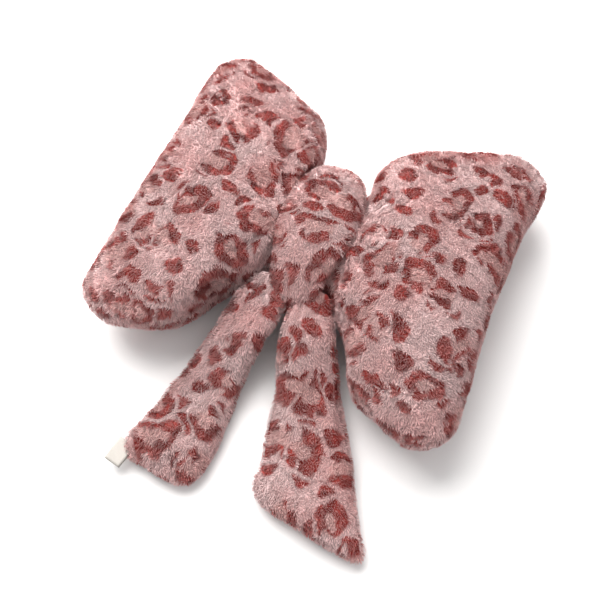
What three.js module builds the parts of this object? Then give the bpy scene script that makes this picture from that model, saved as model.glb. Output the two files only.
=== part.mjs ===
// A plush bow cushion: two stuffed wings pinched together by a padded knot band,
// and two flat stuffed tails that hang from the knot.
//
// Millimetres. The bow lies flat on its back on z = 0. The origin is under the middle of the knot,
// +X points to the right wing, +Y away from the tails, and +Z out of the bow's face.

import * as THREE from "three";
import { mergeVertices } from "three/addons/utils/BufferGeometryUtils.js";

// ---------- Driving dimensions ----------

const clearance = 0.3;
const panelThickness = 8; // fleece backing and its pile
const seamThreadDiameter = 1;
const seamHeight = 55; // the wings' seam plane above the floor

const knot = {
  centreY: 6,
  halfLength: 88,
  floorSag: 2, // how far the floor flattens the band's round underside
  halfWidth: 38,
  endHalfWidth: 25,
  padDepth: 20,
  liningThickness: 3,
  closingSeamY: 34,
};

const wing = {
  halfSpan: 226,
  halfHeight: 196,
  crown: 61,
  throatGap: 2.5, // between the knot's side and the wing's narrow end
  shoulderRun: 11.5, // from the narrow end out to the shoulder
  shoulderHeight: 140,
  underarmRun: 35.5,
  underarmDepth: 110,
  cornerRadius: 49,
  edgeCrown: 53,
  edgeSag: 10,
  edgeLean: 4,
};

const throatX = knot.halfWidth + wing.throatGap;
const shoulderX = throatX + wing.shoulderRun;
const underarmX = throatX + wing.underarmRun;

const tail = {
  stuffingHalfThickness: 7,
  rootRise: 9, // of the seam at the root, above the wings' seam
  floorRun: 130, // distance from the root at which the tail has sunk to the floor
  tackLength: 8,
};

const tailHalfThickness = panelThickness + tail.stuffingHalfThickness;
const tailRootHeight = seamHeight + tail.rootRise;

const leftTail = {
  rootX: -23,
  rootHalfWidth: 20,
  length: 239,
  heading: 11, // degrees away from straight down, towards its own wing
  halfWidth: 45,
  endHalfWidth: 50,
  endSlant: 4,
  cornerRadius: 26,
};

const rightTail = {
  rootX: 23,
  rootHalfWidth: 20,
  length: 247,
  heading: 21.5,
  halfWidth: 41,
  endHalfWidth: 58,
  endSlant: 31,
  cornerRadius: 22,
};

const gather = {
  pleats: 13,
  pleatDepth: 4,
  threadDiameter: 2,
};

const label = {
  width: 28,
  reach: 13,
  strip: 0.8,
  loop: 3.4,
  drop: 14, // further down the seam than the middle of its last straight stretch
};

// ---------- Materials ----------

const fleece = new THREE.MeshStandardMaterial({ color: 0xc79391, roughness: 0.95, metalness: 0 });
const stuffing = new THREE.MeshStandardMaterial({ color: 0xf2efe9, roughness: 1, metalness: 0 });
const liningCloth = new THREE.MeshStandardMaterial({ color: 0xd8b3b0, roughness: 0.9, metalness: 0 });
const thread = new THREE.MeshStandardMaterial({ color: 0xcf9c9a, roughness: 0.6, metalness: 0 });
const satin = new THREE.MeshStandardMaterial({ color: 0xe9e6e1, roughness: 0.45, metalness: 0 });

// ---------- Building closed meshes from rows of points ----------

const { lerp } = THREE.MathUtils;
const up = new THREE.Vector3(0, 0, 1);
const point = (x, y, z = seamHeight) => new THREE.Vector3(x, y, z);
const superCos = (angle, power) => Math.sign(Math.cos(angle)) * Math.abs(Math.cos(angle)) ** (2 / power);
const superSin = (angle, power) => Math.sign(Math.sin(angle)) * Math.abs(Math.sin(angle)) ** (2 / power);

function geometryFrom(vertices, triangles) {
  const soup = new THREE.BufferGeometry().setFromPoints(vertices);
  soup.setIndex(triangles.flat());
  const merged = mergeVertices(soup, 1e-3);
  const index = merged.getIndex().array;
  const kept = [];
  for (let i = 0; i < index.length; i += 3) {
    const [a, b, c] = [index[i], index[i + 1], index[i + 2]];
    if (a !== b && b !== c && c !== a) kept.push(a, b, c);
  }
  merged.setIndex(kept);
  merged.computeVertexNormals();
  return merged;
}

function quad(a, b, c, d) {
  return [[a, b, c], [a, c, d]];
}

/** Closed solid through closed rings of points, with a fan over each open end. */
function solidFromRings(rings, capLast = true) {
  const count = rings[0].length;
  const vertices = rings.flat();
  const triangles = [];
  for (let i = 0; i + 1 < rings.length; i += 1) {
    for (let j = 0; j < count; j += 1) {
      const next = (j + 1) % count;
      triangles.push(...quad(i * count + j, i * count + next, (i + 1) * count + next, (i + 1) * count + j));
    }
  }
  const fan = (ring, start, flipped) => {
    const centre = ring.reduce((sum, p) => sum.add(p), new THREE.Vector3()).divideScalar(count);
    const hub = vertices.push(centre) - 1;
    for (let j = 0; j < count; j += 1) {
      const [a, b] = [start + j, start + ((j + 1) % count)];
      triangles.push(flipped ? [hub, b, a] : [hub, a, b]);
    }
  };
  fan(rings[0], 0, true);
  if (capLast) fan(rings.at(-1), (rings.length - 1) * count, false);
  return geometryFrom(vertices, triangles);
}

/** Closed shell between an outer and an inner open sheet of the same size. */
function shellFromSheets(outer, inner) {
  const rows = outer.length;
  const count = outer[0].length;
  const end = count - 1;
  const vertices = [...outer.flat(), ...inner.flat()];
  const at = (i, j) => i * count + j;
  const under = (i, j) => rows * count + at(i, j);
  const triangles = [];
  for (let i = 0; i + 1 < rows; i += 1) {
    for (let j = 0; j + 1 < count; j += 1) {
      triangles.push(...quad(at(i, j), at(i, j + 1), at(i + 1, j + 1), at(i + 1, j)));
      triangles.push(...quad(under(i, j), under(i + 1, j), under(i + 1, j + 1), under(i, j + 1)));
    }
    triangles.push(...quad(at(i, 0), at(i + 1, 0), under(i + 1, 0), under(i, 0)));
    triangles.push(...quad(at(i, end), under(i, end), under(i + 1, end), at(i + 1, end)));
  }
  for (let j = 0; j + 1 < count; j += 1) {
    triangles.push(...quad(at(0, j), under(0, j), under(0, j + 1), at(0, j + 1)));
    triangles.push(...quad(at(rows - 1, j), at(rows - 1, j + 1), under(rows - 1, j + 1), under(rows - 1, j)));
  }
  return geometryFrom(vertices, triangles);
}

/** Round cord along a list of points. The side vector stays square to the given fixed direction. */
function cordAlong(path, diameter, fixed, closed = false, sides = 6) {
  const last = path.length - 1;
  const rings = path.map((centre, i) => {
    const before = closed ? path[(i + last) % (last + 1)] : path[Math.max(i - 1, 0)];
    const after = closed ? path[(i + 1) % (last + 1)] : path[Math.min(i + 1, last)];
    const tangent = after.clone().sub(before).normalize();
    const side = fixed.clone().cross(tangent).normalize();
    const lift = tangent.clone().cross(side);
    return Array.from({ length: sides }, (_, k) => {
      const angle = (2 * Math.PI * k) / sides;
      const offset = side.clone().multiplyScalar(Math.cos(angle)).addScaledVector(lift, Math.sin(angle));
      return centre.clone().addScaledVector(offset, diameter / 2);
    });
  });
  if (!closed) return solidFromRings(rings);
  const vertices = rings.flat();
  const triangles = rings.flatMap((_, i) =>
    Array.from({ length: sides }, (_unused, k) => {
      const [here, there] = [i * sides, ((i + 1) % rings.length) * sides];
      const next = (k + 1) % sides;
      return quad(here + k, here + next, there + next, there + k);
    }).flat(),
  );
  return geometryFrom(vertices, triangles);
}

function mirrored(geometry) {
  const copy = geometry.clone();
  copy.scale(-1, 1, 1);
  const index = Array.from(copy.getIndex().array);
  for (let i = 0; i < index.length; i += 3) {
    [index[i + 1], index[i + 2]] = [index[i + 2], index[i + 1]];
  }
  copy.setIndex(index);
  copy.computeVertexNormals();
  return copy;
}

// ---------- Pillows: ribs from an open mouth to a seamed end ----------

// A rib is { near, middle, far, crown }: its two seam points, the point that its centre line passes,
// and its half thickness. A row is the closed ring of points round one rib: near side, front, far side, back.

function ribRow(rib, halfSteps, power) {
  const centre = rib.near.clone().add(rib.far).multiplyScalar(0.5);
  const reach = rib.near.clone().sub(centre);
  const bow = rib.middle.clone().sub(centre);
  return Array.from({ length: 2 * halfSteps }, (_, j) => {
    const across = superCos((Math.PI * j) / halfSteps, power);
    const spot = centre.clone().addScaledVector(reach, across);
    spot.addScaledVector(bow, 1 - across * across);
    spot.z = Math.max(spot.z + rib.crown * superSin((Math.PI * j) / halfSteps, power), 0);
    return spot;
  });
}

/** Smooth ribs between a few chosen ones. */
function blendedRibs(ribs, steps) {
  const curve = (pick) => new THREE.CatmullRomCurve3(ribs.map(pick), false, "centripetal");
  const near = curve((rib) => rib.near);
  const far = curve((rib) => rib.far);
  const middle = curve((rib) => rib.middle);
  const crown = curve((rib, i) => point(i, rib.crown, 0));
  return Array.from({ length: steps + 1 }, (_, i) => ({
    near: near.getPoint(i / steps),
    far: far.getPoint(i / steps),
    middle: middle.getPoint(i / steps),
    crown: crown.getPoint(i / steps).y,
  }));
}

/** Rows moved inwards, square to the surface. Points on the seam stay in the seam plane. */
function insetRows(rows, depth) {
  const count = rows[0].length;
  const half = count / 2;
  const last = rows.length - 1;
  return rows.map((row, i) =>
    row.map((spot, j) => {
      const along = i === 0 ? intoMouth(rows) : rows[Math.min(i + 1, last)][j].clone().sub(rows[i - 1][j]);
      const around = row[(j + 1) % count].clone().sub(row[(j + count - 1) % count]);
      const onSeam = j % half === 0 || i === last;
      let outward;
      if (j % half === 0) outward = up.clone().cross(along).multiplyScalar(j === 0 ? 1 : -1);
      else if (i === last) outward = up.clone().cross(around).multiplyScalar(j < half ? 1 : -1);
      else outward = around.cross(along);
      if (onSeam) outward.z = 0;
      const mouthTaper = i === 0 ? 4 * Math.max(depth - panelThickness, 0) : 0;
      const moved = spot.clone().addScaledVector(outward.normalize(), -depth - mouthTaper);
      moved.z = Math.max(moved.z, depth);
      const seam = row[0].z;
      const spare = onSeam ? 0 : clearance;
      moved.z = j <= half ? Math.max(moved.z, seam + spare) : Math.min(moved.z, seam - spare);
      return moved;
    }),
  );
}

function intoMouth(rows) {
  const half = rows[0].length / 2;
  const across = rows[0][half].clone().sub(rows[0][0]);
  return up.clone().cross(across).normalize();
}

/** Front or back sheet of a pillow's rows, kept half a clearance off the seam plane. */
function halfSheet(rows, front) {
  const half = rows[0].length / 2;
  return rows.map((row) =>
    Array.from({ length: half + 1 }, (_, j) => {
      const spot = row[front ? j : (half + j) % (2 * half)].clone();
      const seam = row[0].z;
      spot.z = front ? Math.max(spot.z, seam + clearance / 2) : Math.min(spot.z, seam - clearance / 2);
      return spot;
    }),
  );
}

/** Stuffing that runs to the seamed end, or stops where too little room is left for it. */
function stuffingFrom(rows) {
  const half = rows[0].length / 2;
  const isThick = (row) => row[half / 2].z - row[(3 * half) / 2].z > panelThickness / 2;
  const reachesSeam = isThick(rows.at(-2));
  const kept = rows.filter((row) => isThick(row) || (reachesSeam && row === rows.at(-1)));
  return solidFromRings(kept, !reachesSeam);
}

/** Panels, stuffing and seam thread of one pillow. */
function pillow(rows) {
  const inner = insetRows(rows, panelThickness);
  const threadRoom = seamThreadDiameter / 2 + 4 * clearance;
  const threadRows = insetRows(rows, panelThickness + threadRoom);
  const stuffingRows = insetRows(rows, panelThickness + 2 * threadRoom + clearance);
  const half = rows[0].length / 2;
  threadRows[0] = threadRows[0].map((spot, j) => spot.clone().lerp(threadRows[1][j], 0.2));
  const sides = threadRows.slice(0, -1);
  const nearSide = sides.map((row) => row[0]);
  const farSide = sides.map((row) => row[half]).reverse();
  const end = threadRows.at(-1).slice(1, half);
  return {
    front: shellFromSheets(halfSheet(rows, true), halfSheet(inner, true)),
    back: shellFromSheets(halfSheet(rows, false), halfSheet(inner, false)),
    stuffing: stuffingFrom(stuffingRows),
    thread: cordAlong([...nearSide, ...end, ...farSide], seamThreadDiameter, up, false, 5),
  };
}

// ---------- Wings ----------

const neck = {
  halfHeight: knot.halfLength - knot.padDepth,
  halfThickness: seamHeight + knot.floorSag - knot.padDepth,
};

const wingPower = 2.35;

function rightWingRows() {
  const { halfSpan, halfHeight, crown, cornerRadius, edgeCrown, edgeSag, edgeLean } = wing;
  const edgeStart = halfSpan - cornerRadius;
  const bodyLength = edgeStart - shoulderX;
  const rib = (near, middleX, far, thick) => ({
    near: point(...near),
    middle: point(middleX, 0),
    far: point(...far),
    crown: thick,
  });
  const ribs = [
    rib(
      [throatX, knot.centreY + neck.halfHeight],
      throatX,
      [throatX, knot.centreY - neck.halfHeight],
      neck.halfThickness,
    ),
    rib(
      [throatX - 7, knot.centreY + knot.halfLength + 5],
      throatX + 2,
      [throatX + 6, knot.centreY - neck.halfHeight - 14],
      neck.halfThickness + 9,
    ),
    rib([shoulderX, wing.shoulderHeight], shoulderX + 8, [underarmX, -wing.underarmDepth], crown - 7),
    rib(
      [shoulderX + bodyLength * 0.42, lerp(wing.shoulderHeight, halfHeight, 0.5)],
      shoulderX + bodyLength * 0.42,
      [shoulderX + bodyLength * 0.42, -lerp(wing.underarmDepth, halfHeight, 0.6)],
      crown,
    ),
    rib(
      [edgeStart - edgeLean, halfHeight],
      edgeStart - edgeSag,
      [edgeStart + edgeLean, -halfHeight + edgeLean],
      edgeCrown,
    ),
  ];
  const body = blendedRibs(ribs, 9);
  const edge = [0.3, 0.58, 0.82, 1].map((share) => {
    const angle = (share * Math.PI) / 2;
    const out = cornerRadius * Math.sin(angle);
    const drop = cornerRadius * (1 - Math.cos(angle));
    return rib(
      [edgeStart - edgeLean + out, halfHeight - drop],
      edgeStart - edgeSag + out,
      [edgeStart + edgeLean + out, -halfHeight + edgeLean + drop],
      share === 1 ? 0 : edgeCrown * superCos(angle, wingPower),
    );
  });
  return [...body, ...edge].map((each) => ribRow(each, 10, wingPower));
}

// ---------- Knot ----------

/** Point on a loop round the wings' necks, a given distance outside them. */
function neckLoop(angle, x, distance) {
  const power = 2.2;
  const spot = new THREE.Vector3(
    x,
    neck.halfHeight * superCos(angle, power),
    neck.halfThickness * superSin(angle, power),
  );
  const outward = new THREE.Vector3(
    0,
    superCos(angle, power) / neck.halfHeight,
    superSin(angle, power) / neck.halfThickness,
  ).normalize();
  spot.addScaledVector(outward, distance);
  return spot.add(point(0, knot.centreY));
}

/** Half width of the knot band, which narrows towards the bow's top and bottom edges. */
function bandHalfWidth(angle) {
  return lerp(knot.halfWidth, knot.endHalfWidth, Math.cos(angle) ** 2);
}

/** Angles along the band, from one side of its closing seam round to the other. */
function bandAngles(steps) {
  const loopLength = Math.PI * (neck.halfHeight + neck.halfThickness);
  const seamAngle = -Math.acos((knot.closingSeamY - knot.centreY) / knot.halfLength);
  const gapAngle = (Math.PI * (seamThreadDiameter / 2 + clearance)) / loopLength / 0.6;
  const span = 2 * (Math.PI - gapAngle);
  return Array.from({ length: steps + 1 }, (_, i) => seamAngle + gapAngle + (span * i) / steps);
}

function bandArch(angle, inset, base, points) {
  const halfWidth = bandHalfWidth(angle) - inset;
  const rise = knot.padDepth - inset - base;
  return Array.from({ length: points + 1 }, (_, k) => {
    const turn = (Math.PI * k) / points;
    const spot = neckLoop(angle, halfWidth * superCos(turn, 2.3), base + rise * superSin(turn, 2.3));
    spot.z = Math.max(spot.z, inset);
    return spot;
  });
}

function knotPieces() {
  const angles = bandAngles(36);
  const base = knot.liningThickness + clearance;
  const padInset = panelThickness + clearance;
  const lining = angles.map((angle) => {
    const halfWidth = bandHalfWidth(angle);
    const corners = [[1, clearance], [1, knot.liningThickness], [-1, knot.liningThickness], [-1, clearance]];
    return corners.map(([side, height]) => neckLoop(angle, side * halfWidth, height));
  });
  const seamEnds = [-1, 1].map((side) => {
    const [first, last] = [angles[0], angles.at(-1)];
    const x = side * (bandHalfWidth(first) - panelThickness);
    return neckLoop(first, x, base).add(neckLoop(last, x, base)).multiplyScalar(0.5);
  });
  return {
    cover: shellFromSheets(
      angles.map((angle) => bandArch(angle, 0, base, 10)),
      angles.map((angle) => bandArch(angle, panelThickness, base, 10)),
    ),
    padding: solidFromRings(angles.map((angle) => bandArch(angle, padInset, base, 10))),
    lining: solidFromRings(lining),
    thread: cordAlong(seamEnds, seamThreadDiameter, up),
  };
}

// ---------- Gathered necks inside the knot ----------

function neckGather() {
  const pointsPerPleat = 4;
  const count = gather.pleats * pointsPerPleat;
  const innerEnd = clearance / 2;
  const outerEnd = throatX - clearance;
  const groove = gather.threadDiameter + clearance;
  const stations = [[0, 0], [0.3, 0], [0.42, groove], [0.58, groove], [0.7, 0], [1, 0]];
  const rings = stations.map(([share, sink]) => {
    const x = lerp(innerEnd, outerEnd, share);
    return Array.from({ length: count }, (_, k) => {
      const fold = (k % pointsPerPleat) / pointsPerPleat;
      const depth = gather.pleatDepth * Math.sin(Math.PI * fold);
      return neckLoop((2 * Math.PI * k) / count, x, -clearance - sink - depth);
    });
  });
  return solidFromRings(rings);
}

function gatherThread() {
  const x = throatX / 2;
  const steps = 40;
  const inward = clearance + gather.threadDiameter / 2;
  const path = Array.from({ length: steps }, (_, i) => neckLoop((2 * Math.PI * i) / steps, x, -inward));
  return cordAlong(path, gather.threadDiameter, new THREE.Vector3(1, 0, 0), true, 5);
}

// ---------- Tails ----------

const tailPower = 2.6;
const knotEndY = knot.centreY - knot.halfLength;
const tackHeight = seamHeight;
const tailRootY = knotEndY - seamThreadDiameter - clearance;

/** Rows of one tail. Side is -1 for the left tail and 1 for the right. */
function tailRows(shape, side) {
  const turn = THREE.MathUtils.degToRad(shape.heading) * side;
  const along = point(Math.sin(turn), -Math.cos(turn), 0);
  const across = point(Math.cos(turn), Math.sin(turn), 0);
  const start = point(shape.rootX, tailRootY, 0);
  const bodyLength = shape.length - shape.cornerRadius;
  const slant = Math.tan(THREE.MathUtils.degToRad(shape.endSlant)) * side;
  const heightAt = (distance) => {
    const share = THREE.MathUtils.clamp(distance / tail.floorRun, 0, 1);
    const ease = 0.5 + 0.5 * Math.cos(Math.PI * share);
    return lerp(tailHalfThickness - 1, tailRootHeight, ease);
  };
  const rib = (distance, halfWidth, thick, slanted) => {
    const seamPoint = (offset) => {
      const reach = distance + (slanted ? offset * slant : 0);
      const spot = start.clone().addScaledVector(along, reach).addScaledVector(across, offset);
      spot.z = heightAt(reach);
      return spot;
    };
    return {
      near: seamPoint(halfWidth),
      middle: seamPoint(0),
      far: seamPoint(-halfWidth),
      crown: thick,
    };
  };
  const root = {
    near: point(shape.rootX + shape.rootHalfWidth, tailRootY, tailRootHeight),
    middle: point(shape.rootX, tailRootY, tailRootHeight),
    far: point(shape.rootX - shape.rootHalfWidth, tailRootY, tailRootHeight),
    crown: tailHalfThickness,
  };
  const ribs = [
    root,
    rib(bodyLength * 0.2, lerp(shape.rootHalfWidth, shape.halfWidth, 0.68), tailHalfThickness, false),
    rib(bodyLength * 0.45, shape.halfWidth, tailHalfThickness, false),
    rib(bodyLength * 0.72, lerp(shape.halfWidth, shape.endHalfWidth, 0.5), tailHalfThickness, false),
    rib(bodyLength, shape.endHalfWidth, tailHalfThickness, true),
  ];
  const end = [0.4, 0.75, 1].map((share) => {
    const angle = (share * Math.PI) / 2;
    const out = shape.cornerRadius * Math.sin(angle);
    const drop = shape.cornerRadius * (1 - Math.cos(angle));
    const thick = share === 1 ? 0 : tailHalfThickness * superCos(angle, tailPower);
    return rib(bodyLength + out, shape.endHalfWidth - drop, thick, true);
  });
  return [...blendedRibs(ribs, 8), ...end].map((each) => ribRow(each, 6, tailPower));
}

/** Short bar of thread that ties a tail's root to the knot's lower end. */
function tailTack(shape) {
  const y = knotEndY - seamThreadDiameter / 2;
  const inner = shape.rootX - Math.sign(shape.rootX) * (shape.rootHalfWidth - 1);
  const outer = inner + Math.sign(shape.rootX) * tail.tackLength;
  return cordAlong([point(inner, y, tackHeight), point(outer, y, tackHeight)], seamThreadDiameter, up);
}

/** Folded satin strip sewn into the tail's far seam, just above its end. */
function careLabel(rows) {
  const [upper, lower] = rows.slice(7, 9).map((row) => row[row.length / 2]);
  const down = lower.clone().sub(upper).normalize();
  const out = down.clone().cross(up);
  const base = upper.clone().lerp(lower, 0.5).addScaledVector(down, label.drop);
  base.addScaledVector(out, clearance);
  const foldSteps = 6;
  const foldCentre = label.reach - label.loop / 2;
  const strip = (radius) => {
    const bend = Array.from({ length: foldSteps + 1 }, (_, k) => {
      const turn = Math.PI / 2 - (Math.PI * k) / foldSteps;
      return [foldCentre + radius * Math.cos(turn), radius * Math.sin(turn)];
    });
    return [[0, radius], ...bend, [0, -radius]];
  };
  const sheet = (radius) =>
    [-label.width / 2, label.width / 2].map((shift) =>
      strip(radius).map(([reach, height]) =>
        base.clone().addScaledVector(down, shift).addScaledVector(out, reach).addScaledVector(up, height),
      ),
    );
  return shellFromSheets(sheet(label.loop / 2), sheet(label.loop / 2 - label.strip));
}

// ---------- The bow ----------

const bow = new THREE.Group();

function add(name, geometry, material) {
  const mesh = new THREE.Mesh(geometry, material.clone());
  mesh.name = name;
  bow.add(mesh);
}

const rightWing = pillow(rightWingRows());
for (const [side, shape] of [["left", mirrored], ["right", (geometry) => geometry]]) {
  add(`${side}_wing_front`, shape(rightWing.front), fleece);
  add(`${side}_wing_back`, shape(rightWing.back), fleece);
  add(`${side}_wing_stuffing`, shape(rightWing.stuffing), stuffing);
  add(`${side}_wing_seam_thread`, shape(rightWing.thread), thread);
  add(`${side}_neck_gather`, shape(neckGather()), fleece);
  add(`${side}_gather_thread`, shape(gatherThread()), thread);
}

const band = knotPieces();
add("knot_cover", band.cover, fleece);
add("knot_padding", band.padding, stuffing);
add("knot_lining", band.lining, liningCloth);
add("knot_closing_thread", band.thread, thread);

for (const [side, shape] of [[-1, leftTail], [1, rightTail]]) {
  const name = side < 0 ? "left" : "right";
  const pieces = pillow(tailRows(shape, side));
  add(`${name}_tail_front`, pieces.front, fleece);
  add(`${name}_tail_back`, pieces.back, fleece);
  add(`${name}_tail_stuffing`, pieces.stuffing, stuffing);
  add(`${name}_tail_seam_thread`, pieces.thread, thread);
  add(`${name}_tail_tack`, tailTack(shape), thread);
}

add("care_label", careLabel(tailRows(leftTail, -1)), satin);

export default bow;
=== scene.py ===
"""Looks of the plush bow cushion: sewn skins, a fleece pile of real tufts and a leopard print."""

import math

import bmesh
import bpy
import numpy as np
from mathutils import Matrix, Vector, noise
from mathutils.bvhtree import BVHTree


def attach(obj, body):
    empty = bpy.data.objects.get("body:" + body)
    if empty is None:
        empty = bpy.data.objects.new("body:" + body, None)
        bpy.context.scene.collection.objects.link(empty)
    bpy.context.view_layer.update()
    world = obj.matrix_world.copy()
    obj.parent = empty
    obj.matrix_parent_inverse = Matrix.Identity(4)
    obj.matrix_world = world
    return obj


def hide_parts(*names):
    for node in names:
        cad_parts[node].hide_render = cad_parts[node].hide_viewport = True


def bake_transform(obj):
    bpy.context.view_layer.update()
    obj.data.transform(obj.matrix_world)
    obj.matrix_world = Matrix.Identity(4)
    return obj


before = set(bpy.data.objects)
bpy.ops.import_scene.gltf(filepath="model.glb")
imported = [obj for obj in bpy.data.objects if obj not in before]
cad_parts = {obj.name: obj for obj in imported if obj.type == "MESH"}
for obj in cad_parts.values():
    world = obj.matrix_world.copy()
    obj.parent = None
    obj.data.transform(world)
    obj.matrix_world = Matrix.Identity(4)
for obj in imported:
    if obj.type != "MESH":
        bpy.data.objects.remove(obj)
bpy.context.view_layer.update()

# Sizes and places in metres, in the CAD model's frame.
SKIN_DEPTH = 0.0028  # how far the woven skin lies inside the outer surface of the pile
PILE_LENGTH = 0.0052
TUFT_WIDTH = 0.0010
PRINT_BLUR = 0.0007  # how far a tuft's colour strays, so that the marks' edges are ragged
FLOOR_GAP = 0.0004
WING_VOXEL = 0.0048
SMALL_VOXEL = 0.004
SEAM_PULL = 0.003  # how far a seam draws the skin in
SEAM_REACH = 0.009  # how far from the thread that dies away
CAP = 0.004  # the most that the simulation moves a skin
SEAM_Z = 0.055  # height of the wings' seams
NECK_Y = 0.006  # the knot's middle, along Y
KNOT_Z = 0.056  # the knot's middle, above the floor
WING_MIDDLE_X = 0.133
TAIL_ROOT_X = 0.023
TAIL_ROOT_Y = -0.083
TAIL_SPREAD = {-1: 0.194, 1: 0.394}  # how far each tail runs outwards, as a share of its length

SIMULATED_FRAMES = 20
MOST_TUFTS = 19800  # a piece of them stays under 200,000 triangles, past which the export thins it

scene = bpy.context.scene
random = np.random.default_rng(11)


# ---------------------------------------------------------------- meshes


def link(name, mesh):
    ob = bpy.data.objects.new(name, mesh)
    scene.collection.objects.link(ob)
    return ob


def coords(mesh):
    values = np.zeros(len(mesh.vertices) * 3)
    mesh.vertices.foreach_get("co", values)
    return values.reshape(-1, 3)


def normals(mesh):
    values = np.zeros(len(mesh.vertices) * 3)
    mesh.vertex_normals.foreach_get("vector", values)
    return values.reshape(-1, 3)


def move_to(mesh, points):
    mesh.vertices.foreach_set("co", points.astype(np.float32).ravel())
    mesh.update()


def evaluated(ob):
    graph = bpy.context.evaluated_depsgraph_get()
    graph.update()
    return bpy.data.meshes.new_from_object(ob.evaluated_get(graph))


def with_modifier(ob, kind, **settings):
    """Applies one modifier, so that the plain mesh stays."""
    modifier = ob.modifiers.new(kind.lower(), kind)
    for key, value in settings.items():
        setattr(modifier, key, value)
    mesh = evaluated(ob)
    ob.modifiers.clear()
    ob.data = mesh
    return ob


def noise_at(points, wavelength, shift=0.0):
    """Three smooth noise values, from -1 to 1, at each point."""
    step = np.asarray(points) / wavelength + shift
    return np.array([noise.noise_vector(p) for p in step.tolist()])


def smooth(low, high, value):
    t = np.clip((value - low) / (high - low), 0, 1)
    return t * t * (3 - 2 * t)


def unit(vectors):
    return vectors / np.maximum(np.linalg.norm(vectors, axis=1, keepdims=True), 1e-9)


def tree_of(name):
    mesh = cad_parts[name].data
    points = [v.co.copy() for v in mesh.vertices]
    return BVHTree.FromPolygons(points, [tuple(p.vertices) for p in mesh.polygons])


def closed_skin(name, voxel, *nodes):
    """One closed skin round some CAD nodes, SKIN_DEPTH inside them."""
    joined = bmesh.new()
    for node in nodes:
        joined.from_mesh(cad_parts[node].data)
    mesh = bpy.data.meshes.new(name)
    joined.to_mesh(mesh)
    joined.free()
    ob = with_modifier(link(name, mesh), "REMESH", mode="VOXEL", voxel_size=voxel)
    with_modifier(ob, "SMOOTH", factor=0.5, iterations=2)
    move_to(ob.data, coords(ob.data) - normals(ob.data) * SKIN_DEPTH)
    with_modifier(ob, "SMOOTH", factor=0.5, iterations=2)
    return ob


# ---------------------------------------------------------------- stuffed shapes


def puff(ob, held, pressure):
    """Blows the skin up from inside as stuffing does. held is 1 where it can't move."""
    start = coords(ob.data)
    group = ob.vertex_groups.new(name="held")
    for i, weight in enumerate(held.tolist()):
        if weight > 0.01:
            group.add([i], weight, "REPLACE")
    cloth = ob.modifiers.new("cloth", "CLOTH")
    settings = cloth.settings
    settings.quality = 5
    settings.mass = 0.3
    settings.tension_stiffness = 12
    settings.compression_stiffness = 6
    settings.shear_stiffness = 5
    settings.bending_stiffness = 0.4
    settings.use_pressure = True
    settings.uniform_pressure_force = pressure
    settings.vertex_group_mass = "held"
    settings.effector_weights.gravity = 0
    cloth.collision_settings.use_collision = False
    cloth.point_cache.frame_start = 1
    cloth.point_cache.frame_end = SIMULATED_FRAMES
    for frame_number in range(1, SIMULATED_FRAMES + 1):
        scene.frame_set(frame_number)
    moved = coords(evaluated(ob)) - start
    scene.frame_set(1)
    ob.modifiers.clear()
    ob.vertex_groups.clear()
    far = np.linalg.norm(moved, axis=1, keepdims=True)
    move_to(ob.data, start + moved * np.minimum(1, CAP / np.maximum(far, 1e-9)))


def seam_pull(ob, thread):
    """How far each point is drawn in by the seam beside it."""
    tree = tree_of(thread)
    near = np.array([tree.find_nearest(p)[3] for p in coords(ob.data).tolist()])
    return SEAM_PULL * np.exp(-((near / SEAM_REACH) ** 2))


def lumps(points, height, wavelength, shift):
    return height * noise_at(points, wavelength, shift)[:, 0]


def wing_folds(points, side):
    """Depth of the folds that fan out from the neck over a wing."""
    folds, first, spacing, deepest = 11, -1.32, 0.262, 0.0062
    out = side * points[:, 0] - 0.030
    up = points[:, 1] - NECK_Y
    reach = np.hypot(out, up)
    angle = np.arctan2(up, out)
    front = points[:, 2] > SEAM_Z
    depth = np.zeros(len(points))
    for face, offset in ((front, 0.0), (~front, 0.17)):
        for k in range(folds):
            middle = first + k * spacing + 0.07 * math.sin(k * 4.1 + offset * 20 + side)
            length = 0.075 + 0.03 * math.sin(k * 2.3 + side + offset * 9)
            width = 0.055 + 0.02 * math.sin(k * 3.7 + side)
            wander = 0.06 * np.sin(reach * 60 + k)
            fold = np.exp(-(((angle - middle - offset - wander) / width) ** 2))
            depth += face * fold * (1 - smooth(0.25 * length, length, reach - 0.02))
    return deepest * depth


def finish_skin(ob, change):
    """Moves the skin out by change along its normals, then halves the width of its faces."""
    points = coords(ob.data) + normals(ob.data) * change[:, None]
    points[:, 2] = np.maximum(points[:, 2], SKIN_DEPTH)
    move_to(ob.data, points)
    with_modifier(ob, "SUBSURF", levels=1, render_levels=1)
    ob.data.polygons.foreach_set("use_smooth", [True] * len(ob.data.polygons))
    return ob


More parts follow.
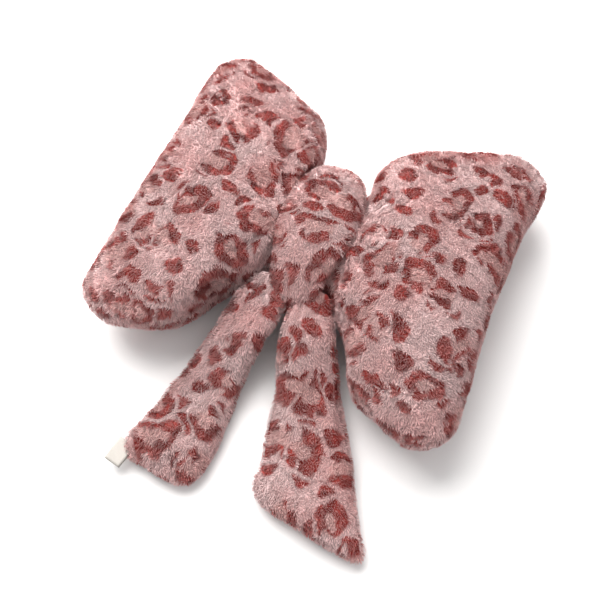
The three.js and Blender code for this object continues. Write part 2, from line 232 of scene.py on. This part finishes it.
def wing_skin(side, name):
    ob = closed_skin(
        f"{name}_wing_skin", WING_VOXEL, f"{name}_wing_front", f"{name}_wing_back",
        f"{name}_wing_stuffing", f"{name}_wing_seam_thread", f"{name}_neck_gather",
    )
    points = coords(ob.data)
    held = 1 - smooth(0.050, 0.085, side * points[:, 0])
    pull = seam_pull(ob, f"{name}_wing_seam_thread")
    puff(ob, np.maximum(held, pull / SEAM_PULL > 0.7), 4.0)
    points = coords(ob.data)
    corner = smooth(0.06, 0.18, points[:, 1])
    outer = smooth(0.12, 0.22, side * points[:, 0])
    # Each wing's outline is turned and narrowed a little, as it lies in the photo.
    if side < 0:
        points[:, 1] += 0.006 * corner
        points[:, 0] += 0.004 * corner * (1 - outer) + 0.004 * outer
    else:
        low = 1 - smooth(0.0, 0.10, points[:, 1])
        points[:, 0] += 0.008 * corner * outer - 0.004 * outer * low
        points[:, 1] -= 0.003 * corner * (1 - outer)
    move_to(ob.data, points)
    change = lumps(points, 0.0045, 0.075, side * 3.1) + lumps(points, 0.0016, 0.028, 5.0)
    change -= pull * (points[:, 0] * side > 0.07)
    change -= wing_folds(points, side)
    return finish_skin(ob, change)


def round_knot(points):
    """Each point's angle and distance from the knot's long axis."""
    out, up = points[:, 1] - NECK_Y, points[:, 2] - KNOT_Z
    return np.arctan2(up, out), np.hypot(out, up)


def knot_skin():
    ob = closed_skin("knot_skin", SMALL_VOXEL, "knot_cover", "knot_padding", "knot_lining")
    points = coords(ob.data)
    puff(ob, 1 - smooth(0.046, 0.060, round_knot(points)[1]), 3.0)
    # The knot is wider than the CAD band, most at its lower end, which hangs over the tails.
    points = coords(ob.data)
    points[:, 0] *= 1.2
    low = smooth(-0.045, -0.080, points[:, 1])
    points[:, 1] -= 0.015 * low
    points[:, 0] *= 1 + 0.15 * low
    move_to(ob.data, points)
    change = lumps(points, 0.004, 0.05, 8.0) + lumps(points, 0.0015, 0.02, 1.0)
    turn = round_knot(points)[0]
    creases, pitch, depth, width = 5, 0.010, 0.0022, 0.0028
    for k in range(creases):
        line = -0.020 + pitch * k + 0.004 * np.sin(turn * 3 + k * 2)
        share = 0.5 + 0.5 * np.sin(turn * 2 + k * 1.7)
        change -= depth * np.exp(-(((points[:, 0] - line) / width) ** 2)) * share
    return finish_skin(ob, change)


def tail_skin(side, name):
    ob = closed_skin(
        f"{name}_tail_skin", SMALL_VOXEL, f"{name}_tail_front", f"{name}_tail_back",
        f"{name}_tail_stuffing", f"{name}_tail_seam_thread",
    )
    points = coords(ob.data)
    held = smooth(-0.125, -0.095, points[:, 1])
    puff(ob, held, 3.0)
    points = coords(ob.data)
    change = lumps(points, 0.003, 0.05, 2.0 + side) + lumps(points, 0.0012, 0.022, 4.0)
    along = TAIL_ROOT_Y - points[:, 1]
    # Three pleats run out from the root.
    pitch, depth, width = 0.011, 0.003, 0.003
    for k in (-1, 0, 1):
        line = side * 0.022 + k * pitch + side * along * 0.25
        fade = 1 - smooth(0.02, 0.07, along)
        change -= depth * np.exp(-(((points[:, 0] - line) / width) ** 2)) * fade
    # The left tail is slimmer below its root, and the right one wider at its foot.
    off = points[:, 0] - side * (TAIL_ROOT_X + along * TAIL_SPREAD[side])
    if side < 0:
        slim = smooth(0.01, 0.05, along) * (1 - smooth(0.08, 0.18, along))
        points[:, 0] -= (0.20 * off + 0.003) * slim
        points[:, 0] += 0.003 * smooth(0.11, 0.20, along)
        points[:, 1] += 0.006 * smooth(0.15, 0.24, along)
    else:
        points[:, 0] += (0.007 * smooth(0.0, 0.03, off) + 0.06 * off) * smooth(0.06, 0.14, along)
        points[:, 1] += 0.004 * smooth(0.18, 0.24, along)
    # The root reaches up under the knot.
    points[:, 1] += 0.020 * smooth(-0.115, -0.088, points[:, 1])
    move_to(ob.data, points)
    return finish_skin(ob, change)


# ---------------------------------------------------------------- print


def flat(across, along):
    """A place on the flat print, on which each panel has a part of its own."""
    return np.column_stack([across, along, 0 * across])


def wing_print(side):
    """Lays a wing's two panels out flat, so that the print isn't stretched down the sides."""

    def place(points):
        plan = points[:, :2] - np.array([side * WING_MIDDLE_X, 0.0])
        front = points[:, 2] > SEAM_Z
        drop = np.maximum(0, np.where(front, 0.092 - points[:, 2], points[:, 2] - 0.018))
        plan = plan * (1 + drop / np.maximum(np.linalg.norm(plan, axis=1), 0.02))[:, None]
        return flat(plan[:, 0] + side * 0.5, plan[:, 1] + np.where(front, 0, 2.0))

    return place


def knot_print(points):
    return flat(points[:, 0] + 3.013, round_knot(points)[0] * 0.075)


def tail_print(side):
    def place(points):
        seam = 0.014 + 0.050 * (1 - smooth(0.0, 0.130, TAIL_ROOT_Y - points[:, 1]))
        front = points[:, 2] > seam
        return flat(points[:, 0] + side * 4.0, points[:, 1] + np.where(front, 0, 2.0))

    return place


# ---------------------------------------------------------------- pile


# A tuft's seven points are three round its root, three round its bend, and its tip.
TUFT_SIDES = [(k, (k + 1) % 3, 3 + (k + 1) % 3, 3 + k) for k in range(3)]
TUFT_ENDS = [(2, 1, 0)] + [(3 + k, 3 + (k + 1) % 3, 6) for k in range(3)]
TUFT_STRAND = [0, 0, 0, 0.6, 0.6, 0.6, 1.0]


def scatter(mesh, amount, keep):
    """Places spread over the part of a mesh that keep() picks, and the way up at each."""
    points = coords(mesh)
    bent = normals(mesh)
    quads = np.zeros(len(mesh.polygons) * 4, int)
    mesh.polygons.foreach_get("vertices", quads)
    quads = quads.reshape(-1, 4)
    corners = points[quads]
    area = 0.5 * np.linalg.norm(
        np.cross(corners[:, 2] - corners[:, 0], corners[:, 3] - corners[:, 1]), axis=1
    )
    wanted = area * keep(corners.mean(1), unit(bent[quads].mean(1)))
    wanted = wanted / wanted.sum() * amount
    count = np.floor(wanted).astype(int) + (random.random(len(wanted)) < wanted % 1)
    face = np.repeat(np.arange(len(quads)), count)
    u, v = random.random(len(face))[:, None], random.random(len(face))[:, None]
    share = [(1 - u) * (1 - v), u * (1 - v), u * v, (1 - u) * v]
    root = sum(s * points[quads[face, i]] for i, s in enumerate(share))
    up = unit(sum(s * bent[quads[face, i]] for i, s in enumerate(share)))
    return root, up


def nap(root, up):
    """The way that each tuft leans: downwards, turned by waves and by small clumps."""
    lie = np.array([0.25, -0.8, -0.25]) + 0.8 * noise_at(root, 0.035, 3.0)
    lie += 1.5 * noise_at(root, 0.0065, 7.0) + 0.4 * (random.random((len(root), 3)) - 0.5)
    lie -= up * (lie * up).sum(1, keepdims=True)
    return unit(lie)


def tuft_points(root, up):
    lie = nap(root, up)
    across = np.cross(up, lie)
    size = 0.8 + 0.4 * random.random(len(root)) + 0.25 * noise_at(root, 0.012, 1.0)[:, 0]
    length = (PILE_LENGTH * size)[:, None]
    width = (TUFT_WIDTH * (0.75 + 0.5 * random.random(len(root))))[:, None]
    rings = []
    for rise, reach, thick in ((-0.08, -0.02, 1.0), (0.50, 0.24, 0.85)):
        centre = root + up * length * rise + lie * length * reach
        for k in range(3):
            turn = 2 * math.pi * k / 3 + 0.5
            rings.append(
                centre + across * width * thick * 0.5 * math.cos(turn)
                + (up * 0.5 + lie * 0.4) * width * thick * 0.5 * math.sin(turn)
            )
    rings.append(root + up * length * 0.74 + lie * length * 0.72)
    tuft = np.stack(rings, 1)
    tuft[:, :, 2] = np.maximum(tuft[:, :, 2], FLOOR_GAP)
    return tuft


def tuft_mesh(name, tuft):
    total, per = tuft.shape[:2]
    base = (np.arange(total) * per)[:, None, None]
    loops = np.concatenate(
        [(np.array(faces)[None] + base).reshape(total, -1) for faces in (TUFT_SIDES, TUFT_ENDS)], axis=1
    ).ravel()
    sizes = np.tile([4] * len(TUFT_SIDES) + [3] * len(TUFT_ENDS), total)
    made = bpy.data.meshes.new(name)
    made.vertices.add(total * per)
    made.vertices.foreach_set("co", tuft.astype(np.float32).ravel())
    made.loops.add(len(loops))
    made.loops.foreach_set("vertex_index", loops.astype(np.int32))
    made.polygons.add(len(sizes))
    made.polygons.foreach_set("loop_start", np.concatenate([[0], np.cumsum(sizes)[:-1]]).astype(np.int32))
    made.polygons.foreach_set("use_smooth", [True] * len(sizes))
    made.update(calc_edges=True)
    return made


def add_colour_map(mesh, total):
    """A colour map in which every tuft has its own cell."""
    cells = math.ceil(math.sqrt(total))
    side = [0, 1 / 3, 2 / 3]
    cell = []
    for k in range(3):
        cell += [(side[k], 0.05), (side[k] + 1 / 3, 0.05), (side[k] + 1 / 3, 0.5), (side[k], 0.5)]
    cell += [(0.1, 0.0), (0.5, 0.05), (0.9, 0.0)]
    for k in range(3):
        cell += [(side[k], 0.5), (side[k] + 1 / 3, 0.5), (side[k] + 1 / 6, 1.0)]
    corner = np.stack([np.arange(total) % cells, np.arange(total) // cells], 1)[:, None, :]
    place = (corner + 0.06 + 0.88 * np.array(cell)[None]) / cells
    mesh.uv_layers.new(name="OFBake")
    mesh.uv_layers["OFBake"].data.foreach_set("uv", place.astype(np.float32).ravel())


def pile(name, skin, amount, keep, print_place):
    """A coat of closed, bent, three-sided tufts over the part of a skin that keep() picks."""
    root, up = scatter(skin.data, amount, keep)
    tuft = tuft_points(root, up)
    total, per = tuft.shape[:2]
    made = tuft_mesh(name, tuft)
    tint = 0.5 + 0.5 * noise_at(root, 0.006, 9.0)[:, 0] + 0.4 * (random.random(total) - 0.5)
    place = print_place(root + PRINT_BLUR * random.standard_normal(root.shape))
    set_attribute(made, "print", "FLOAT_VECTOR", np.repeat(place, per, axis=0))
    set_attribute(made, "strand", "FLOAT", np.tile(TUFT_STRAND, total))
    set_attribute(made, "tint", "FLOAT", np.repeat(tint, per))
    add_colour_map(made, total)
    return link(name, made)


def set_attribute(mesh, name, kind, values):
    attribute = mesh.attributes.new(name, kind, "POINT")
    key = "vector" if kind == "FLOAT_VECTOR" else "value"
    attribute.data.foreach_set(key, np.asarray(values, np.float32).ravel())


# ---------------------------------------------------------------- materials


def rgb(*levels):
    """A linear colour from sRGB levels of 0 to 255."""
    return tuple(((level / 255 + 0.055) / 1.055) ** 2.4 for level in levels) + (1.0,)


class Nodes:
    """A short way to write a material's nodes."""

    def __init__(self, name):
        self.material = bpy.data.materials.new(name)
        self.material.use_nodes = True
        self.tree = self.material.node_tree
        self.shader = self.tree.nodes["Principled BSDF"]

    def add(self, kind, inputs=None, out=0, **settings):
        node = self.tree.nodes.new(kind)
        for key, value in settings.items():
            setattr(node, key, value)
        for key, value in (inputs or {}).items():
            self.set(node.inputs[key], value)
        return node.outputs[out]

    def set(self, socket, value):
        if isinstance(value, bpy.types.NodeSocket):
            self.tree.links.new(value, socket)
        else:
            socket.default_value = value

    def math(self, operation, a, b=0.0):
        return self.add("ShaderNodeMath", {0: a, 1: b}, operation=operation)

    def step(self, value, low, high, bottom=0.0, top=1.0):
        return self.add(
            "ShaderNodeMapRange", {0: value, 1: low, 2: high, 3: bottom, 4: top},
            interpolation_type="SMOOTHSTEP",
        )

    def mix(self, share, a, b):
        return self.add("ShaderNodeMix", {0: share, 6: a, 7: b}, out=2, data_type="RGBA")

    def vector(self, operation, a, b):
        return self.add("ShaderNodeVectorMath", {0: a, 1: b}, operation=operation)

    def noise(self, place, scale, detail=2.0, out=0):
        return self.add("ShaderNodeTexNoise", {"Vector": place, "Scale": scale, "Detail": detail}, out=out)


PALE = rgb(255, 222, 221)
ROSE = rgb(250, 200, 198)
PEACH = rgb(234, 176, 170)
DARK = rgb(198, 90, 84)
DEEP = rgb(146, 54, 51)
ROSETTE_SPACING = 0.052
SPOT_SPACING = 0.031
PRINT_WARP = 0.026


def leopard(nodes, place):
    """The print: broken dark rings with a peachy middle, and small spots between them."""
    bend = nodes.noise(place, 34.0, 2.0, out=1)
    bend = nodes.vector("SUBTRACT", bend, (0.5, 0.5, 0.5))
    bend = nodes.vector("MULTIPLY", bend, (PRINT_WARP, PRINT_WARP, 0.0))
    place = nodes.vector("ADD", place, bend)
    cells = {"Vector": place, "Scale": 1 / ROSETTE_SPACING, "Randomness": 0.8}
    cell = nodes.tree.nodes.new("ShaderNodeTexVoronoi")
    edge = nodes.tree.nodes.new("ShaderNodeTexVoronoi")
    cell.voronoi_dimensions = edge.voronoi_dimensions = "2D"
    edge.feature = "DISTANCE_TO_EDGE"
    for node in (cell, edge):
        for key, value in cells.items():
            nodes.set(node.inputs[key], value)
    chance = nodes.tree.nodes.new("ShaderNodeSeparateColor")
    nodes.set(chance.inputs[0], cell.outputs["Color"])
    own = nodes.vector("SUBTRACT", place, cell.outputs["Position"])
    own = nodes.add(
        "ShaderNodeVectorRotate", {"Vector": own, "Angle": nodes.math("MULTIPLY", chance.outputs[0], 6.28)},
        rotation_type="Z_AXIS",
    )
    own = nodes.vector("MULTIPLY", own, (1.0, 1.32, 0.0))
    size = nodes.step(chance.outputs[1], 0.0, 1.0, 0.0145, 0.0282)
    reach = nodes.math("DIVIDE", nodes.add("ShaderNodeVectorMath", {0: own}, out=1, operation="LENGTH"), size)
    hollow = nodes.step(size, 0.0150, 0.0190, 0.1, 0.40)
    rim = nodes.math("SUBTRACT", reach, hollow)
    ring = nodes.math("MULTIPLY", nodes.step(rim, -0.06, 0.08), nodes.step(reach, 0.94, 1.08, 1.0, 0.0))
    split = nodes.tree.nodes.new("ShaderNodeSeparateXYZ")
    nodes.set(split.inputs[0], nodes.add("ShaderNodeVectorMath", {0: own}, operation="NORMALIZE"))
    gap = nodes.step(split.outputs[0], 0.70, 0.86, 1.0, 0.0)
    gap = nodes.math("MAXIMUM", gap, nodes.step(chance.outputs[2], 0.25, 0.3, 1.0, 0.0))
    gap = nodes.math("MULTIPLY", gap, nodes.step(nodes.noise(place, 50.0, 1.0), 0.36, 0.43))
    ring = nodes.math("MULTIPLY", nodes.math("MULTIPLY", ring, gap), nodes.step(edge.outputs[0], 0.02, 0.07))
    middle = nodes.math("MULTIPLY", nodes.step(reach, 0.55, 0.85, 1.0, 0.0), nodes.step(size, 0.014, 0.019))
    small = nodes.add(
        "ShaderNodeTexVoronoi", {"Vector": place, "Scale": 1 / SPOT_SPACING, "Randomness": 0.9},
        voronoi_dimensions="2D",
    )
    spot = nodes.math("MULTIPLY", nodes.step(small, 0.26, 0.35, 1.0, 0.0), nodes.step(reach, 1.15, 1.33))
    dark = nodes.math("MAXIMUM", ring, spot)
    base = nodes.mix(nodes.step(nodes.noise(place, 14.0, 2.0), 0.35, 0.7), PALE, ROSE)
    base = nodes.mix(nodes.math("MULTIPLY", middle, 0.6), base, PEACH)
    mark = nodes.mix(nodes.step(nodes.noise(place, 60.0, 3.0), 0.38, 0.66), DARK, DEEP)
    return nodes.mix(dark, base, mark)


def fleece_pile():
    nodes = Nodes("fleece_pile")
    place = nodes.add("ShaderNodeAttribute", attribute_name="print", out=1)
    strand = nodes.add("ShaderNodeAttribute", attribute_name="strand", out=2)
    tint = nodes.add("ShaderNodeAttribute", attribute_name="tint", out=2)
    colour = leopard(nodes, place)
    # Painted shade and highlight: a tuft is darkened at its root, where the pile around it shades it, and
    # lightened towards its tip. Each one also has its own brightness.
    rise = nodes.step(strand, 0.0, 1.0, 0.72, 1.16)
    shade = nodes.math("MULTIPLY", rise, nodes.step(tint, 0.0, 1.0, 0.80, 1.10))
    colour = nodes.add("ShaderNodeVectorMath", {0: colour, "Scale": shade}, operation="SCALE")
    # The tips are also mixed towards near-white: partly the fibres' own paler tips, partly a painted
    # highlight.
    tip = nodes.math("MULTIPLY", nodes.math("POWER", strand, 3.0), 0.10)
    nodes.set(nodes.shader.inputs["Base Color"], nodes.mix(tip, colour, rgb(250, 232, 231)))
    nodes.shader.inputs["Roughness"].default_value = 0.8
    nodes.shader.inputs["Specular IOR Level"].default_value = 0.25
    nodes.shader.inputs["Sheen Weight"].default_value = 0.35
    nodes.shader.inputs["Sheen Roughness"].default_value = 0.45
    nodes.shader.inputs["Sheen Tint"].default_value = rgb(250, 225, 222)
    return nodes.material


# The skin under the pile: the leopard print darkened as painted shade.
def shaded_fleece_skin():
    nodes = Nodes("fleece_skin_painted_shade")
    place = nodes.add("ShaderNodeAttribute", attribute_name="print", out=1)
    shade = 0.62  # painted shade, for the shadow that the tufts cast on the skin between them
    colour = nodes.add("ShaderNodeVectorMath", {0: leopard(nodes, place), "Scale": shade}, operation="SCALE")
    nodes.set(nodes.shader.inputs["Base Color"], colour)
    nodes.shader.inputs["Roughness"].default_value = 0.95
    nodes.shader.inputs["Specular IOR Level"].default_value = 0.1
    return nodes.material


def plain_cloth(name, colour, scale, strength, roughness=0.8, sheen=0.2):
    """A woven or fibrous cloth of one colour."""
    nodes = Nodes(name)
    place = nodes.add("ShaderNodeTexCoord", out=3)
    weave = nodes.noise(place, scale, 4.0)
    dim = tuple(c * 0.8 for c in colour[:3]) + (1.0,)
    nodes.set(nodes.shader.inputs["Base Color"], nodes.mix(weave, dim, colour))
    bump = nodes.add("ShaderNodeBump", {"Strength": strength, "Distance": 0.001, "Height": weave})
    nodes.set(nodes.shader.inputs["Normal"], bump)
    nodes.shader.inputs["Roughness"].default_value = roughness
    nodes.shader.inputs["Sheen Weight"].default_value = sheen
    return nodes.material


PILE = fleece_pile()
SKIN_IN_PAINTED_SHADE = shaded_fleece_skin()
SATIN = plain_cloth("label_satin", rgb(188, 183, 176), 900.0, 0.15, 0.45, 0.1)
THREAD = plain_cloth("thread", rgb(176, 116, 112), 1500.0, 0.4)
LINING = plain_cloth("lining", rgb(214, 176, 172), 900.0, 0.3)
FILLING = plain_cloth("stuffing", rgb(240, 238, 234), 220.0, 0.6, 0.95)


def dress(ob, material):
    ob.data.materials.clear()
    ob.data.materials.append(material)
    return ob


# ---------------------------------------------------------------- pieces

TUFTS = int(MOST_TUFTS * (1.0))
BARE_NECK = 0.020  # the wings have no pile nearer to the middle, where the knot hides them

# Which faces of a wing each of its coats covers.
WING_COATS = {
    "upper_front": lambda middle, facing: (facing[:, 2] > 0) & (middle[:, 1] > 0),
    "lower_front": lambda middle, facing: (facing[:, 2] > 0) & (middle[:, 1] <= 0),
    "back": lambda middle, facing: facing[:, 2] <= 0,
}


def coat(name, skin, keep, print_place, place):
    ob = pile(name, skin, TUFTS, keep, print_place)
    dress(ob, PILE)
    place(ob)


def printed(skin, print_place):
    set_attribute(skin.data, "print", "FLOAT_VECTOR", print_place(coords(skin.data)))
    return dress(skin, SKIN_IN_PAINTED_SHADE)


knot = printed(knot_skin(), knot_print)


def outside_knot(middle, facing):
    """The knot's outer side and its two rims."""
    out = np.stack([middle[:, 1] - NECK_Y, middle[:, 2] - KNOT_Z], 1)
    turned = (out * facing[:, 1:]).sum(1) / np.maximum(np.linalg.norm(out, axis=1), 1e-6)
    rim = 0.026
    return (turned > -0.2) | (np.abs(middle[:, 0]) > rim)


coat("knot_pile", knot, outside_knot, knot_print, lambda ob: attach(ob, "knot"))
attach(knot, "knot")
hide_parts("knot_cover")

for side, name in ((-1, "left"), (1, "right")):
    wing = printed(wing_skin(side, name), wing_print(side))

    def bend_wing(ob, side=side, name=name):
        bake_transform(ob)

    for part, pick in WING_COATS.items():
        coat(
            f"{name}_wing_{part}_pile", wing,
            lambda middle, facing, pick=pick: pick(middle, facing) & (np.abs(middle[:, 0]) >= BARE_NECK),
            wing_print(side), bend_wing,
        )
    bend_wing(wing)
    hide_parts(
        f"{name}_wing_front", f"{name}_wing_back", f"{name}_wing_stuffing",
        f"{name}_wing_seam_thread", f"{name}_neck_gather",
    )

    tail = printed(tail_skin(side, name), tail_print(side))

    def bend_tail(ob, side=side, name=name):
        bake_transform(ob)

    coat(
        f"{name}_tail_pile", tail, lambda middle, facing: middle[:, 1] < -0.070,
        tail_print(side), bend_tail,
    )
    bend_tail(tail)
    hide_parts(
        f"{name}_tail_front", f"{name}_tail_back", f"{name}_tail_stuffing", f"{name}_tail_seam_thread",
    )


def label_path(low, high, middle):
    """The folded ribbon's centre line, out along its lower leg and back along its upper one."""
    radius, steps = 0.0017, 8
    leg = high - radius - low
    path = [(low + leg * k / steps, middle - radius) for k in range(steps + 1)]
    for k in range(1, steps):
        turn = math.pi * k / steps
        path.append((high - radius + radius * math.sin(turn), middle - radius * math.cos(turn)))
    return path + [(low + leg * (1 - k / steps), middle + radius) for k in range(steps + 1)]


def care_label():
    """A folded satin ribbon, sewn in at the edge of the left tail, and its flat width and length."""
    heading = math.radians(11)  # the left tail's own
    thickness, sewn_in, rows = 0.0004, 0.020, 12
    along_tail, further_in = 0.018, 0.014  # how far the label lies from the CAD one
    down = np.array([-math.sin(heading), -math.cos(heading), 0])
    out = np.array([-math.cos(heading), math.sin(heading), 0])
    node = coords(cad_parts["care_label"].data)
    low, high = (node @ out).min() - sewn_in, (node @ out).max() - further_in
    start, end = (node @ down).min() + along_tail, (node @ down).max() + along_tail
    path = label_path(low, high, (node[:, 2].min() + node[:, 2].max()) / 2)
    points, faces = [], []
    for layer in (0, 1):
        for i, (reach, z) in enumerate(path):
            before, after = path[max(i - 1, 0)], path[min(i + 1, len(path) - 1)]
            flow = np.array([after[0] - before[0], after[1] - before[1]])
            flow /= np.linalg.norm(flow)
            shift = (layer - 0.5) * thickness
            for j in range(rows):
                t = j / (rows - 1)
                sag = 0.0007 * math.sin(t * 7 + reach * 200)
                points.append(
                    out * (reach + flow[1] * shift) + down * (start + (end - start) * t)
                    + np.array([0, 0, z - flow[0] * shift + sag])
                )
    per = len(path) * rows
    for i in range(len(path) - 1):
        for j in range(rows - 1):
            a = i * rows + j
            faces.append((a, a + 1, a + rows + 1, a + rows))
            faces.append((per + a, per + a + rows, per + a + rows + 1, per + a + 1))
    edge = [i * rows for i in range(len(path))] + [per - rows + j for j in range(1, rows)]
    edge += [i * rows + rows - 1 for i in range(len(path) - 2, -1, -1)] + list(range(rows - 2, 0, -1))
    for a, b in zip(edge, edge[1:] + edge[:1]):
        faces.append((a, b, b + per, a + per))
    mesh = bpy.data.meshes.new("satin_label")
    mesh.from_pydata([tuple(p) for p in points], [], faces)
    tidy = bmesh.new()
    tidy.from_mesh(mesh)
    bmesh.ops.recalc_face_normals(tidy, faces=tidy.faces)
    tidy.to_mesh(mesh)
    tidy.free()
    mesh.polygons.foreach_set("use_smooth", [True] * len(mesh.polygons))
    reach = sum(math.dist(a, b) for a, b in zip(path, path[1:]))
    return link("satin_label", mesh), (end - start, reach)


label, label_size = care_label()
dress(label, SATIN)
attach(label, "left_tail")
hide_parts("care_label")

for name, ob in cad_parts.items():
    if ob.hide_render:
        continue
    if "stuffing" in name or "padding" in name:
        dress(ob, FILLING)
    elif "lining" in name:
        dress(ob, LINING)
    else:
        dress(ob, THREAD)

# ---------------------------------------------------------------- stage

floor_half = 40
floor_mesh = bpy.data.meshes.new("floor")
floor_corners = [(x * floor_half, y * floor_half, 0) for x, y in ((-1, -1), (1, -1), (1, 1), (-1, 1))]
floor_mesh.from_pydata(floor_corners, [], [(0, 1, 2, 3)])
floor = link("floor", floor_mesh)
floor_nodes = Nodes("floor")
floor_nodes.shader.inputs["Base Color"].default_value = (0.9, 0.9, 0.9, 1)
floor_nodes.shader.inputs["Roughness"].default_value = 0.9
floor_mesh.materials.append(floor_nodes.material)

world = bpy.data.worlds.new("studio")
world.use_nodes = True
background = world.node_tree.nodes["Background"]
background.inputs["Color"].default_value = (1.0, 0.99, 0.985, 1)
background.inputs["Strength"].default_value = 0.64
scene.world = world


def area_light(name, place, target, size, power, colour):
    data = bpy.data.lights.new(name, "AREA")
    data.size = size
    data.energy = power
    data.color = colour
    ob = bpy.data.objects.new(name, data)
    scene.collection.objects.link(ob)
    ob.location = place
    ob.rotation_euler = (Vector(target) - Vector(place)).to_track_quat("-Z", "Y").to_euler()


area_light("key", (-0.78, 0.66, 1.08), (-0.1, 0.05, 0.05), 1.7, 66.0, (1.0, 0.98, 0.96))
area_light("fill", (1.2, -0.9, 1.4), (0, -0.05, 0.05), 1.6, 2.0, (0.97, 0.98, 1.0))

# ---------------------------------------------------------------- camera

# The photo's angle, fitted to the outline.
azimuth, elevation = math.radians(23), math.radians(66)
target, distance = Vector((0.0100, -0.0691, 0.0299)), 1.055
back = Vector((
    math.sin(azimuth) * math.cos(elevation), -math.cos(azimuth) * math.cos(elevation), math.sin(elevation),
))
camera = bpy.data.objects.new("camera", bpy.data.cameras.new("camera"))
scene.collection.objects.link(camera)
camera.data.lens = 54.74
camera.data.sensor_width = 36
camera.data.clip_start = 0.05
camera.location = target + back * distance
camera.rotation_euler = back.to_track_quat("Z", "Y").to_euler()
scene.camera = camera
scene.view_settings.view_transform = "Standard"
